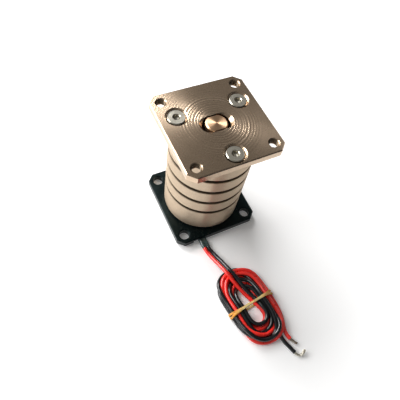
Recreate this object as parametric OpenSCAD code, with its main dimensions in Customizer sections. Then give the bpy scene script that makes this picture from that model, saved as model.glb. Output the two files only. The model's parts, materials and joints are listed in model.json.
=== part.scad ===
// Cylindrical voice coil motor. A grooved magnet housing with a square top plate
// slides on a brass shaft, over a coil that stands on a black square base plate.
// Two leads leave the base through a channel and lie wound in a hank before it.
// Millimetres, +Z up, origin at the middle of the base plate's underside.

/* [Flanges] */
// Overhang of the square top plate and base plate beyond the housing, on each side
flange_over = 2.5; // [1.5:0.1:6]
// Leg of the 45 degree cut at each flange corner
corner_cut = 3; // [1:0.5:4]
// Thickness of the top plate
plate_t = 3.5; // [3.2:0.1:6]
// Thickness of the base plate
base_t = 3.5; // [3.2:0.1:6]
// Distance from a flange's edge to the middle of its corner holes
bolt_edge = 4.25; // [3.5:0.05:5]
// Diameter of the base plate's corner holes
bolt_hole_d = 4.5; // [3.2:0.1:4.8]
// Thread diameter of the top plate's corner holes
tap_d = 4; // [3:0.1:4.6]
// Bevel along the outer edges of the flanges
edge_bevel = 0.4; // [0.1:0.1:0.8]
// Bevel at the mouths of the base plate's corner holes
hole_bevel = 0.45; // [0.1:0.05:0.5]
// Bevel at the mouths of the top plate's corner holes
tap_bevel = 0.3; // [0.1:0.05:0.5]

/* [Magnet housing] */
// Wall of the grooved housing
yoke_wall = 5; // [4.6:0.1:7]
// Length of the housing
yoke_len = 48.5; // [46:0.5:70]
// Gap between the housing and the base plate at rest
rest_gap = 1; // [0.5:0.1:2]
// Number of cooling grooves
groove_count = 4; // [1:1:4]
// Width of a cooling groove
groove_w = 2; // [1:0.1:3]
// Depth of a cooling groove
groove_depth = 2; // [0.5:0.1:2.5]
// Distance from groove to groove
groove_pitch = 8; // [5:0.5:9]
// Distance from the housing's top to the middle of the first groove
groove_first = 10.2; // [9.6:0.1:12]

/* [Plate screws] */
// Thread diameter of the plate screws and the shaft screw
screw_d = 4; // [3:0.5:4]
// Diameter of their heads
head_d = 7; // [6:0.1:7.4]
// Height of their heads
head_h = 2; // [1.6:0.1:2.2]
// Width across the flats of their hex sockets
hex_w = 2.5; // [2:0.1:3.4]
// Length of their shanks
screw_len = 8; // [6:0.5:8]
// Radial room round a head in its counterbore
head_room = 0.3; // [0.2:0.1:0.5]
// Bevel at the mouth of a counterbore
bore_bevel = 0.6; // [0.2:0.1:0.7]
// Depth of a head below the face it is sunk into
head_sink = 0.1; // [0:0.1:0.6]

/* [Shaft and bushes] */
// Diameter of the brass shaft
shaft_d = 8.5; // [7:0.1:12]
// Depth of each of the shaft's two flats
flat_depth = 0.95; // [0.5:0.05:1.4]
// Depth of the shaft's end below the top plate's face
shaft_sink = 0.1; // [0:0.1:2]
// Gap between the plate's slot and each flat of the shaft
slot_side_gap = 0.6; // [0.3:0.1:1]
// Gap between the slot's end and the shaft
slot_end_gap = 1.45; // [1:0.05:1.8]
// Width of the bevelled relief at each end of the slot
slot_relief = 1.2; // [0.4:0.1:1.2]
// Wall of the two guide bushes
bush_wall = 1.2; // [0.8:0.1:2]
// Length of a guide bush
bush_len = 12; // [8:0.5:12]
// Wall of the tube that carries the magnets
sleeve_wall = 1; // [0.8:0.1:2]

/* [Magnets and coil] */
// Wall of the ring magnets, the pole piece and the clamp nut
magnet_wall = 3.3; // [2.8:0.1:6]
// Height of the pole piece
pole_h = 14; // [8:0.5:15]
// Height of the clamp nut
nut_h = 4; // [3:0.5:5]
// Height of the top plate's boss inside the housing
boss_h = 6; // [5:0.5:8]
// Depth that the magnet tube is screwed into the boss
seat_h = 3.5; // [2:0.5:4]
// Travel of the magnet housing
stroke = 10; // [4:0.5:10]
// Length of the winding beyond pole piece and travel
coil_over = 3; // [1:0.5:3]
// Thickness of the winding
winding_t = 1.2; // [0.9:0.1:2.5]
// Diameter of the winding's wire
coil_wire_d = 0.75; // [0.6:0.05:1]
// Wall of the coil bobbin
bobbin_wall = 0.6; // [0.4:0.1:0.8]
// Thickness of the bobbin's foot
foot_t = 3.5; // [3:0.1:4]
// Height of the rubber stop ring
bumper_h = 4.5; // [4.2:0.1:5]

/* [Leads] */
// Diameter of a lead over its insulation
wire_d = 1.7; // [1.4:0.1:1.7]
// Width of the lead channel under the base plate
channel_w = 6.6; // [5:0.1:6.8]
// Height of the lead channel
channel_h = 2.3; // [2.3:0.1:2.5]

/* [Hidden] */
$fn = 96;

// Clearances
run_gap = 0.03;
fit_gap = 0.02;
thread_gap = 0.05;
through_gap = 0.2;
core_gap = 0.38;
coil_gap = 0.5;
ring_gap = 0.4;
bumper_gap = 0.1;
tip_gap = 0.2;
cut = 0.1;

// Radii from the shaft outwards
shaft_r = shaft_d / 2;
bush_r = shaft_r + run_gap + bush_wall;
sleeve_bore_r = bush_r + fit_gap;
sleeve_r = sleeve_bore_r + sleeve_wall;
core_r = sleeve_r + fit_gap + magnet_wall;
bobbin_r = core_r + core_gap;
drum_r = bobbin_r + bobbin_wall;
winding_r = drum_r + winding_t;
yoke_bore_r = winding_r + coil_gap;
yoke_r = yoke_bore_r + yoke_wall;
screw_circle_r = (yoke_r + yoke_bore_r) / 2;
boss_r = yoke_bore_r - fit_gap;
flat_w = shaft_d - 2 * flat_depth;
shaft_bevel = 0.5;
flange_w = 2 * (yoke_r + flange_over);
bolt_span = flange_w - 2 * bolt_edge;

// Base hub, stop ring and bobbin foot
hub_wall = 1.2;
hub_drop = 0.5;
hub_h = bumper_h - hub_drop;
hub_r = shaft_r + fit_gap + hub_wall;
hub_socket = 2;
bumper_wall = 2.3;
bumper_bore_r = hub_r + bumper_gap;
bumper_r = bumper_bore_r + bumper_wall;
foot_bore_r = bumper_r + ring_gap;
foot_screw_r = (foot_bore_r + winding_r) / 2;
rim_t = 1;
coil_len = pole_h + stroke + coil_over;

// Heights at rest
z_yoke = base_t + rest_gap;
z_plate = z_yoke + yoke_len;
z_top = z_plate + plate_t;
z_boss = z_plate - boss_h;
z_seat = z_boss + seat_h;
z_core = base_t + bumper_h;
z_pole = z_core + nut_h;
z_magnet = z_pole + pole_h;
magnet_count = 3;
magnet_h = (z_boss - z_magnet) / magnet_count;
z_foot = base_t + foot_t;
z_rim = z_foot + coil_len;
z_shaft = base_t + hub_h - hub_socket;
bush_inset = 3;
z_bush = z_seat - bush_inset - bush_len;
flat_runout = 3;
z_flat = z_bush - flat_runout;

// Screws
sink_depth = head_h + head_sink;
socket_depth = head_h * 0.6;
socket_bevel = 0.3;
socket_tip_d = 0.9 * hex_w;
socket_tip_h = socket_tip_d / 2 * tan(30);
bore_end = 0.6;
foot_screw_d = 2;
foot_screw_len = base_t + foot_t - bore_end - through_gap - tip_gap;
foot_head_d = 3.8;
foot_hex_w = 1.3;
foot_screw_angles = [30, 150, 270];
plate_screw_angles = [30, 150, 270];

// Lead channel, and the hole that takes the coil's ends down into it
coil_hole_d = 2.6;
coil_hole_angle = -140;
coil_end_d = 0.6;
channel_rim = 0.25;
coil_hole = foot_screw_r * [cos(coil_hole_angle), sin(coil_hole_angle)];
channel_x = coil_hole.x + coil_hole_d / 2 + channel_rim - channel_w / 2;
channel_len = flange_w / 2 + coil_hole.y + coil_hole_d / 2 + channel_rim;

// Heat-shrink sleeve round both leads where they leave the channel
shrink_wall = 0.2;
lead_x = -8.5;
lead_pitch = 1.8;
shrink_h = wire_d + 2 * (fit_gap + shrink_wall);
shrink_in = 4;
shrink_out = 4.5;
lead_z = shrink_h / 2;
lead_in_y = -12;

// Hank of leads and the rubber band round it
band_t = 0.8;
band_w = 1.5;
hank_mid = [-2.6, -56];
hank_turn = 6;
hank_len = 36;
hank_w = 19.6;
hank_h = 4.4;
hole_len = 14;
hole_w = 5;
hank_z = band_t + fit_gap;

// Route points of the leads, tails and bare tips
tip_d = 1.2;
tip_start = 0.5;
red_lead_route = [
    [lead_x - lead_pitch / 2, lead_in_y, lead_z],
    [lead_x - lead_pitch / 2, -16, lead_z],
    [lead_x - lead_pitch / 2, -20, lead_z],
    [lead_x - lead_pitch / 2, -25, lead_z],
    [-8.8, -28, 0.95],
    [-8.2, -30.5, 1.3],
    [-7.7, -33, 2.1],
    [-7.3, -35.5, 3.1],
    [-6.6, -39, 4.2]
];
black_lead_route = [
    [lead_x + lead_pitch / 2, lead_in_y, lead_z],
    [lead_x + lead_pitch / 2, -16, lead_z],
    [lead_x + lead_pitch / 2, -20, lead_z],
    [lead_x + lead_pitch / 2, -25, lead_z],
    [-6.85, -28, 0.95],
    [-6.15, -30.6, 1.3],
    [-5.6, -33.1, 2],
    [-5.2, -35.6, 3],
    [-4.45, -39, 4]
];
red_tail_route = [[3.4, -69, 0.9], [4.7, -72, 0.9], [6.1, -75.2, 0.9]];
red_tip_route = [
    end_of(red_tail_route),
    onward(red_tail_route, tip_start),
    [6.9, -76.8, 0.9],
    [7.8, -78.2, 0.8]
];
black_tail_route = [[1.4, -70.5, 0.9], [2.6, -73.8, 0.9], [3.8, -77.3, 0.9], [5, -80.7, 0.9]];
black_tip_route = [
    end_of(black_tail_route),
    onward(black_tail_route, tip_start),
    [5.7, -82, 0.8],
    [7, -82.6, 0.9],
    [8.3, -82.2, 1.3],
    [9.1, -81.4, 1.9]
];

// Colours
champagne = [0.74, 0.66, 0.56];
plate_grey = [0.6, 0.53, 0.45];
anodised = [0.07, 0.08, 0.08];
stainless = [0.7, 0.7, 0.69];
brass = [0.8, 0.62, 0.32];
bronze = [0.62, 0.45, 0.25];
nickel = [0.72, 0.72, 0.7];
iron = [0.45, 0.46, 0.48];
copper = [0.72, 0.38, 0.2];
rubber_black = [0.08, 0.08, 0.08];
lead_red = [0.82, 0.1, 0.08];
amber = [0.8, 0.62, 0.32];
tinned = [0.68, 0.66, 0.6];

// Square plate with cut corners and bevelled edges, standing on z = 0
module bevelled_plate(t) {
    b = edge_bevel;
    intersection_for (turn = [0:45:135]) {
        half = turn % 90 == 0 ? flange_w / 2 : (flange_w - corner_cut) / sqrt(2);
        rotate([90, 0, turn])
            linear_extrude(height = 2 * flange_w, center = true)
                polygon([
                    [b - half, 0], [half - b, 0], [half, b], [half, t - b],
                    [half - b, t], [b - half, t], [-half, t - b], [-half, b]
                ]);
    }
}

// Through hole with mouths bevelled by b at both ends, from z = 0 to z = t
module bevelled_hole(d, t, b) {
    translate([0, 0, -cut]) cylinder(d = d, h = t + 2 * cut);
    hole_mouth(d, 0, -1, b);
    hole_mouth(d, t, 1, b);
}

// Cone that bevels a hole's mouth by b at height z, opening up or down
module hole_mouth(d, z, way, b) {
    translate([0, 0, z])
        mirror([0, 0, way > 0 ? 0 : 1])
            translate([0, 0, -b])
                cylinder(d1 = d, d2 = d + 2 * (b + cut), h = b + cut);
}

// The four corner holes of a flange
module corner_holes(d, t, b) {
    for (x = [-1, 1], y = [-1, 1])
        translate([x * bolt_span / 2, y * bolt_span / 2, 0]) bevelled_hole(d, t, b);
}

// Obround outline along X
module obround(len, w) {
    square([len - w, w], center = true);
    for (side = [-1, 1]) translate([side * (len - w) / 2, 0]) circle(d = w);
}

// Ring between two radii, with its corners bevelled
module bevelled_ring(inner, outer, h, b) {
    rotate_extrude()
        polygon([
            [inner + b, 0], [outer - b, 0], [outer, b], [outer, h - b],
            [outer - b, h], [inner + b, h], [inner, h - b], [inner, b]
        ]);
}

// Socket screw with its head's seat at z = 0 and its shank below
module socket_screw() {
    b = 0.3;
    difference() {
        union() {
            rotate_extrude()
                polygon([
                    [0, 0], [head_d / 2, 0], [head_d / 2, head_h - b],
                    [head_d / 2 - b, head_h], [0, head_h]
                ]);
            rotate_extrude()
                polygon([
                    [0, -screw_len], [screw_d / 2 - b, -screw_len],
                    [screw_d / 2, b - screw_len], [screw_d / 2, cut], [0, cut]
                ]);
        }
        translate([0, 0, head_h - socket_depth])
            cylinder(d = hex_w / cos(30), h = socket_depth + cut, $fn = 6);
        translate([0, 0, head_h - socket_depth - socket_tip_h])
            cylinder(d1 = 0, d2 = socket_tip_d, h = socket_tip_h + cut);
        hole_mouth(hex_w, head_h, 1, socket_bevel);
    }
}

// Countersunk screw with its head's face at z = 0 and its shank above
module countersunk_screw() {
    cone_h = (foot_head_d - foot_screw_d) / 2;
    difference() {
        rotate_extrude()
            polygon([
                [0, 0], [foot_head_d / 2, 0], [foot_screw_d / 2, cone_h],
                [foot_screw_d / 2, foot_screw_len], [0, foot_screw_len]
            ]);
        translate([0, 0, -cut])
            cylinder(d = foot_hex_w / cos(30), h = cone_h + cut, $fn = 6);
    }
}

// Shaft section: a round bar, with two flats parallel to X when flat
module shaft_section(r, across) {
    intersection() {
        circle(r = r);
        square([4 * r, across], center = true);
    }
}

// Unit vector
function unit(v) = v / norm(v);

// Direction of a route at one of its points
function heading(route, i) =
    unit(route[min(i + 1, len(route) - 1)] - route[max(i - 1, 0)]);

// Last point of a route, and a point straight on beyond it
function end_of(route) = route[len(route) - 1];
function onward(route, d) = end_of(route) + d * heading(route, len(route) - 1);

// One ring of points round a route, across the reference direction
function ring(route, i, r, sides, ref) =
    let (ahead = heading(route, i), side = unit(cross(ahead, ref)), up = cross(side, ahead))
    [for (k = [0:sides - 1])
        route[i] + r * (cos(360 * k / sides) * side + sin(360 * k / sides) * up)];

// Round tube swept along a route
module tube(route, d, ref = [0, 0, 1], sides = 8) {
    last = len(route) - 1;
    points = [for (i = [0:last]) each ring(route, i, d / 2, sides, ref)];
    walls = [
        for (i = [0:last - 1], k = [0:sides - 1])
            let (a = i * sides + k, b = i * sides + (k + 1) % sides)
            each [[a, b, b + sides], [a, b + sides, a + sides]]
    ];
    start_cap = [for (k = [sides - 1:-1:0]) k];
    end_cap = [for (k = [0:sides - 1]) last * sides + k];
    polyhedron(points = points, faces = concat(walls, [start_cap, end_cap]));
}

// Black square base plate with the hub that holds the shaft
module base_plate() {
    color(anodised)
        difference() {
            union() {
                bevelled_plate(base_t);
                translate([0, 0, base_t - cut]) cylinder(r = hub_r, h = hub_h + cut);
            }
            corner_holes(bolt_hole_d, base_t, hole_bevel);
            translate([0, 0, z_shaft]) cylinder(r = shaft_r + fit_gap, h = hub_socket + cut);
            translate([0, 0, -cut]) cylinder(d = head_d + 2 * head_room, h = sink_depth + cut);
            cylinder(d = screw_d + 2 * through_gap, h = base_t + hub_h);
            for (angle = foot_screw_angles)
                rotate(angle) translate([foot_screw_r, 0, 0]) foot_screw_hole();
            translate([channel_x - channel_w / 2, -flange_w / 2 - cut, -cut])
                cube([channel_w, channel_len + cut, channel_h + cut]);
            translate([coil_hole.x, coil_hole.y, 0]) cylinder(d = coil_hole_d, h = base_t + cut);
        }
}

// Countersunk through hole for one bobbin screw
module foot_screw_hole() {
    clear_d = foot_screw_d + 2 * through_gap;
    mouth_d = foot_head_d + 2 * through_gap;
    translate([0, 0, -cut]) cylinder(d = clear_d, h = base_t + 2 * cut);
    translate([0, 0, -cut])
        cylinder(d1 = mouth_d + 2 * cut, d2 = clear_d, h = (mouth_d - clear_d) / 2 + cut);
}

// Bobbin that carries the winding: a foot ring, a thin drum and a top rim
module coil_bobbin() {
    color(anodised)
        difference() {
            rotate_extrude()
                polygon([
                    [foot_bore_r, base_t], [winding_r, base_t], [winding_r, z_foot],
                    [drum_r, z_foot], [drum_r, z_rim], [winding_r, z_rim],
                    [winding_r, z_rim + rim_t], [bobbin_r, z_rim + rim_t],
                    [bobbin_r, z_foot], [foot_bore_r, z_foot]
                ]);
            for (angle = foot_screw_angles)
                rotate(angle)
                    translate([foot_screw_r, 0, base_t - cut])
                        cylinder(d = foot_screw_d + 2 * thread_gap, h = foot_t - bore_end + cut);
            translate([coil_hole.x, coil_hole.y, base_t - cut])
                cylinder(d = coil_hole_d, h = foot_t + 2 * cut);
        }
}

// Winding: turns of wire side by side in the bobbin's channel
module coil_winding() {
    turns = floor(coil_len / coil_wire_d);
    pitch = coil_len / turns;
    crown = pitch / 2;
    color(copper)
        rotate_extrude() {
            translate([drum_r + fit_gap, z_foot])
                square([winding_r - drum_r - fit_gap - crown, coil_len]);
            for (i = [0:turns - 1])
                translate([winding_r - crown, z_foot + (i + 0.5) * pitch]) circle(d = pitch, $fn = 24);
        }
}

// The two ends of the winding, led down to the leads in the channel
module coil_ends() {
    color(copper)
        for (side = [-1, 1]) {
            x = coil_hole.x + side * coil_hole_d / 4;
            end_x = lead_x + side * lead_pitch / 2;
            tube([
                [x, coil_hole.y, z_foot],
                [x, coil_hole.y, base_t + 1],
                [x, coil_hole.y - 0.3, lead_z + 1],
                [x, coil_hole.y - 1, lead_z],
                [end_x, lead_in_y + 1, lead_z],
                [end_x, lead_in_y, lead_z]
            ], coil_end_d, [1, 0, 0]);
        }
}

// Brass shaft with two flats towards its upper end
module guide_shaft() {
    b = shaft_bevel;
    end = z_top - shaft_sink;
    bore_h = sink_depth + screw_len - z_shaft + bore_end;
    color(brass)
        difference() {
            translate([0, 0, z_shaft])
                rotate_extrude()
                    polygon([
                        [0, 0], [shaft_r - b, 0], [shaft_r, b], [shaft_r, end - z_shaft - b],
                        [shaft_r - b, end - z_shaft], [0, end - z_shaft]
                    ]);
            for (side = [-1, 1])
                translate([-shaft_d, side > 0 ? flat_w / 2 : -flat_w / 2 - shaft_d, z_flat])
                    cube([2 * shaft_d, shaft_d, z_top]);
            translate([0, 0, z_shaft - cut])
                cylinder(d = screw_d + 2 * thread_gap, h = bore_h + cut);
        }
}

// Screw that holds the shaft in the hub, from below
module shaft_screw() {
    color(stainless) translate([0, 0, sink_depth]) rotate([180, 0, 0]) socket_screw();
}

// Three countersunk screws that hold the bobbin on the base plate
module bobbin_screws() {
    color(stainless)
        for (angle = foot_screw_angles)
            rotate(angle) translate([foot_screw_r, 0, through_gap]) countersunk_screw();
}

// Rubber ring on which the magnet housing comes to rest
module stop_bumper() {
    color(rubber_black)
        translate([0, 0, base_t]) bevelled_ring(bumper_bore_r, bumper_r, bumper_h, 0.3);
}

// Flat heat-shrink sleeve round both leads
module shrink_sleeve() {
    outline_w = lead_pitch + shrink_h;
    color(rubber_black)
        translate([lead_x, shrink_in - flange_w / 2, lead_z])
            rotate([90, 0, 0])
                linear_extrude(height = shrink_in + shrink_out)
                    difference() {
                        obround(outline_w, shrink_h);
                        for (side = [-1, 1])
                            translate([side * lead_pitch / 2, 0]) circle(d = wire_d + 2 * fit_gap);
                    }
}

// Red lead from the channel to the hank
module red_lead() {
    color(lead_red) tube(red_lead_route, wire_d);
}

// Black lead from the channel to the hank
module black_lead() {
    color(rubber_black) tube(black_lead_route, wire_d);
}

// Outer shape of the wound leads: a long ring with round ends
module lead_hank() {
    color(lead_red)
        translate([hank_mid.x, hank_mid.y, hank_z])
            rotate(hank_turn + 90)
                linear_extrude(height = hank_h)
                    difference() {
                        obround(hank_len, hank_w);
                        obround(hole_len, hole_w);
                    }
}

// Rubber band round the middle of the hank
module rubber_band() {
    inner = [hank_w + 2 * fit_gap, hank_h + 2 * fit_gap];
    color(amber)
        translate([hank_mid.x, hank_mid.y, hank_z + hank_h / 2])
            rotate([90, 0, hank_turn])
                linear_extrude(height = band_w, center = true)
                    difference() {
                        square(inner + 2 * [band_t - fit_gap, band_t - fit_gap], center = true);
                        square(inner, center = true);
                    }
}

// Loose red end beyond the hank
module red_tail() {
    color(lead_red) tube(red_tail_route, wire_d);
}

// Loose black end beyond the hank
module black_tail() {
    color(rubber_black) tube(black_tail_route, wire_d);
}

// Stripped and tinned end of the red lead
module red_tip() {
    color(tinned) tube(red_tip_route, tip_d);
}

// Stripped and tinned end of the black lead
module black_tip() {
    color(tinned) tube(black_tip_route, tip_d);
}

// Square top plate with a boss that fits the housing's bore
module top_plate() {
    slot_w = flat_w + 2 * slot_side_gap;
    slot_len = shaft_d + 2 * slot_end_gap;
    color(plate_grey)
        difference() {
            union() {
                translate([0, 0, z_plate]) bevelled_plate(plate_t);
                translate([0, 0, z_boss]) cylinder(r = boss_r, h = boss_h + cut);
            }
            translate([0, 0, z_plate]) corner_holes(tap_d, plate_t, tap_bevel);
            for (angle = plate_screw_angles)
                rotate(angle) translate([screw_circle_r, 0, z_plate]) plate_screw_hole();
            translate([0, 0, z_seat - cut])
                linear_extrude(height = z_top - z_seat + 2 * cut) obround(slot_len, slot_w);
            for (side = [-1, 1])
                translate([side * ((slot_len - slot_w) / 2 + slot_relief), 0, 0])
                    hole_mouth(slot_w - 2 * slot_relief, z_top, 1, slot_relief);
            translate([0, 0, z_boss - cut])
                cylinder(r = sleeve_r + fit_gap, h = seat_h + cut);
        }
}

// Counterbored through hole for one plate screw, from z = 0 to the plate's top
module plate_screw_hole() {
    bore_d = head_d + 2 * head_room;
    translate([0, 0, -cut]) cylinder(d = screw_d + 2 * through_gap, h = plate_t);
    translate([0, 0, plate_t - sink_depth]) cylinder(d = bore_d, h = sink_depth + cut);
    hole_mouth(bore_d, plate_t, 1, bore_bevel);
}

// Three socket screws that hold the top plate on the housing
module plate_screws() {
    color(stainless)
        for (angle = plate_screw_angles)
            rotate(angle) translate([screw_circle_r, 0, z_top - sink_depth]) socket_screw();
}

// Grooved housing: the iron tube that closes the magnetic circuit
module outer_yoke() {
    b = edge_bevel;
    floor_r = yoke_r - groove_depth;
    tap_depth = screw_len - (plate_t - sink_depth) + bore_end;
    groove_points = [
        for (i = [groove_count - 1:-1:0])
            let (mid = yoke_len - groove_first - i * groove_pitch)
            each [
                [yoke_r, mid - groove_w / 2], [floor_r, mid - groove_w / 2],
                [floor_r, mid + groove_w / 2], [yoke_r, mid + groove_w / 2]
            ]
    ];
    color(champagne)
        translate([0, 0, z_yoke])
            difference() {
                rotate_extrude()
                    polygon(concat(
                        [[yoke_bore_r + b, 0], [yoke_r - b, 0], [yoke_r, b]],
                        groove_points,
                        [[yoke_r, yoke_len], [yoke_bore_r, yoke_len], [yoke_bore_r, b]]
                    ));
                for (angle = plate_screw_angles)
                    rotate(angle)
                        translate([screw_circle_r, 0, yoke_len - tap_depth])
                            cylinder(d = screw_d + 2 * thread_gap, h = tap_depth + cut);
            }
}

// Tube that carries the magnets and holds the guide bushes
module magnet_tube() {
    color(nickel)
        translate([0, 0, z_core])
            bevelled_ring(sleeve_bore_r, sleeve_r, z_seat - z_core, 0.2);
}

// One ring magnet, counted from the boss down
module ring_magnet(place) {
    color(nickel)
        translate([0, 0, z_boss - (place + 1) * magnet_h])
            bevelled_ring(sleeve_r + fit_gap, core_r, magnet_h, 0.3);
}

module upper_magnet() {
    ring_magnet(0);
}

module middle_magnet() {
    ring_magnet(1);
}

module lower_magnet() {
    ring_magnet(2);
}

// Iron pole piece that turns the field outwards through the winding
module pole_piece() {
    color(iron)
        translate([0, 0, z_pole]) bevelled_ring(sleeve_r + fit_gap, core_r, pole_h, 0.3);
}

// Slotted round nut that clamps magnets and pole piece on their tube
module clamp_nut() {
    slot_depth = 1.5;
    slot_w = 2;
    color(brass)
        translate([0, 0, z_core])
            difference() {
                bevelled_ring(sleeve_r + fit_gap, core_r, nut_h, 0.3);
                for (turn = [0, 90])
                    rotate(turn)
                        translate([-2 * core_r, -slot_w / 2, -cut])
                            cube([4 * core_r, slot_w, slot_depth + cut]);
            }
}

// Upper guide bush: its bore has two flats that keep the housing from turning
module upper_bush() {
    color(bronze)
        translate([0, 0, z_bush])
            linear_extrude(height = bush_len)
                difference() {
                    circle(r = bush_r);
                    shaft_section(shaft_r + run_gap, flat_w + 2 * run_gap);
                }
}

// Lower guide bush with a round bore
module lower_bush() {
    color(bronze)
        translate([0, 0, z_core])
            linear_extrude(height = bush_len)
                difference() {
                    circle(r = bush_r);
                    circle(r = shaft_r + run_gap);
                }
}

base_plate();
coil_bobbin();
coil_winding();
coil_ends();
guide_shaft();
shaft_screw();
bobbin_screws();
stop_bumper();
shrink_sleeve();
red_lead();
black_lead();
lead_hank();
rubber_band();
red_tail();
black_tail();
red_tip();
black_tip();
top_plate();
plate_screws();
outer_yoke();
magnet_tube();
upper_magnet();
middle_magnet();
lower_magnet();
pole_piece();
clamp_nut();
upper_bush();
lower_bush();
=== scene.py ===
import json
import math

import bmesh
import bpy
import numpy as np
from mathutils import Matrix, Vector


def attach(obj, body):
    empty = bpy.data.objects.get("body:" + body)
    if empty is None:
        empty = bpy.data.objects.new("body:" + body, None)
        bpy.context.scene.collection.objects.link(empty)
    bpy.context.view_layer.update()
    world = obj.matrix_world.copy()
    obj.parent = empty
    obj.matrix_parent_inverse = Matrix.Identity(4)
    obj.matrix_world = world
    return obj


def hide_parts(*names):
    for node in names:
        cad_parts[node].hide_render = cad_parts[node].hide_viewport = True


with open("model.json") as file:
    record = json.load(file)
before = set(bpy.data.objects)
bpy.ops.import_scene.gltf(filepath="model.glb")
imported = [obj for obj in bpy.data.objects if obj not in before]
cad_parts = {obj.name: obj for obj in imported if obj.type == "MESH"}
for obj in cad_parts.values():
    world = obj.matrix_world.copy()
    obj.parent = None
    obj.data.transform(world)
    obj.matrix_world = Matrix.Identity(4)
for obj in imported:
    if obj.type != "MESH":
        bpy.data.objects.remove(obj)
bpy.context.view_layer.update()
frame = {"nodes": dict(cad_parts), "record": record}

MM = 0.001

# Camera, fitted to the photograph: place in metres and its three axes
CAMERA_PLACE = (-0.05908, -0.08111, 0.16717)
CAMERA_RIGHT = (0.89401, -0.43102, 0.12231)
CAMERA_UP = (0.32101, 0.80666, 0.49624)
CAMERA_BACK = (-0.31255, -0.40438, 0.85953)
CAMERA_LENS = 35.754
CAMERA_SENSOR = 36
CAMERA_SHIFT = (-0.0130, 0.0059)
CAMERA_NEAR = 0.005

# Leads, in millimetres as in the part's source. Stations are right, bottom, left and top
# of each turn of the hank: distance from its middle, height.
WIRE_D = 1.7
WIRE_ROUNDNESS = 5
HANK_MID = (-2.6, -56.0)
HANK_HALF = (12, 14)
HANK_TURN = math.radians(6)
RED_LEAD = [
    (-9.4, -12, 1.07), (-9.4, -16, 1.07), (-9.4, -20, 1.07), (-9.4, -25, 1.07),
    (-8.8, -28, 0.95), (-8.2, -30.5, 1.3), (-7.7, -33, 2.1), (-7.3, -35.5, 3.1), (-6.6, -39, 4.2),
]
RED_OVER = [(-1.5, 12.5, 4.6), (-0.5, 8.4, 4.5), (0.65, 4.7, 4.4), (1.55, 1.8, 4.3)]
RED_TURNS = [
    (1.9, 4.2), (9.4, 0.9), (4.5, 0.9), (10.8, 0.9),
    (4.0, 0.9), (11.1, 0.9), (6.1, 0.9), (13.8, 0.9),
    (5.7, 0.9), (13.6, 2.4), (7.2, 2.3), (14.5, 2.4),
    (8.0, 2.4), (16.7, 0.9), (7.9, 0.9), (16.0, 2.4),
    (10.2, 0.9),
]
RED_TAIL = [(10.0, -5, 0.9), (9.4, -9.5, 0.9), (7.9, -13.5, 0.9), (6.4, -16.2, 0.9)]
RED_TIP = [(6.1, -75.2, 0.9), (6.9, -76.8, 0.9), (7.8, -78.2, 0.8)]
BLACK_LEAD = [
    (-7.6, -12, 1.07), (-7.6, -16, 1.07), (-7.6, -20, 1.07), (-7.6, -25, 1.07),
    (-6.85, -28, 0.95), (-6.15, -30.6, 1.3), (-5.6, -33.1, 2.0), (-5.2, -35.6, 3.0),
    (-4.45, -39, 4.0),
]
BLACK_OVER = [(0.75, 12, 4.6), (1.55, 8.4, 4.7), (2.35, 4.5, 4.7), (2.9, 1.6, 4.7)]
BLACK_TURNS = [
    (3.3, 4.7), (9.2, 2.6), (4.6, 2.5), (9.0, 0.9),
    (4.9, 2.4), (12.8, 0.9), (5.7, 2.5), (12.2, 0.9),
    (5.7, 3.9), (14.6, 2.0), (9.1, 1.8), (15.4, 0.9),
    (6.3, 2.4), (15.6, 2.4), (8.3, 2.7), (16.9, 0.9),
    (7.5, 0.9),
]
BLACK_TAIL = [(7.9, -5, 0.9), (6.7, -10, 0.9), (4.8, -14.2, 0.9), (3.5, -17, 0.9)]
BLACK_TIP = [
    (5.0, -80.7, 0.9), (5.7, -82.0, 0.8), (7.0, -82.6, 0.9), (8.3, -82.2, 1.3), (9.1, -81.4, 1.9),
]
# Point of each lead just outside the sleeve, the place up to which a lead is held while it
# settles, and the number of points held at its tip
LEAD_HELD_TO = -39.5
TIP_POINTS_HELD = 3

# How routes are drawn: steps in millimetres, points on a quarter turn and on its corner, how
# round the corners of the outer turns are, the least sizes of an outer quarter turn, and how far
# out the first quarter turn swings
CURVE_STEP = 0.4
POINT_STEP = 1.0
QUARTER_POINTS = 16
CORNER_POINTS = 12
CORNER_ROUND = (0.85, 0.97, 0.85, 0.97)
OUTER_LONG = 10
OUTER_SHORT = 5
FIRST_SHOULDER = 4.1

# How the leads settle, for each round: sinking in millimetres, pull to the drawn place, passes
# of bending and of pushing apart. Pairs of points closer than NEAR_GAP are looked up every
# NEAR_EVERY rounds, without those fewer than OWN_POINTS apart on one lead. TINY keeps a gap
# from being zero.
SETTLE_ROUNDS = 400
SINK_STEP = 0.012
HOME_PULL = 0.05
BEND_SHARE = 0.24
BEND_PASSES = 4
LAST_BEND_PASSES = 24
PUSH_SHARE = 0.3
PUSH_PASSES = 3
NEAR_GAP = 3.0
NEAR_EVERY = 8
OWN_POINTS = 6
TINY = 1e-9

# Rubber band, in millimetres: its ends are where each wrap lies at the right and the left side.
# One wrap rises over the other where they are closer than RIDE_REACH band widths.
BAND_T = 0.5
BAND_W = 1.0
BAND_SOFT = 0.2
BAND_STEP = 0.5
BAND_CLEAR = 0.04
WRAP_CLEAR = 0.03
BAND_LIFT_SPREAD = 4.0
BAND_ENDS = ((0.75, 0.7), (-0.7, -0.75))
PINCH_POWER = 0.7
RIDE_REACH = 1.5
DISC_POINTS = 28

# Distances from the hank's middle, in metres, over which the band turns from pale to deep amber
AMBER_FADE = (0.004, 0.0085)

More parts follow.
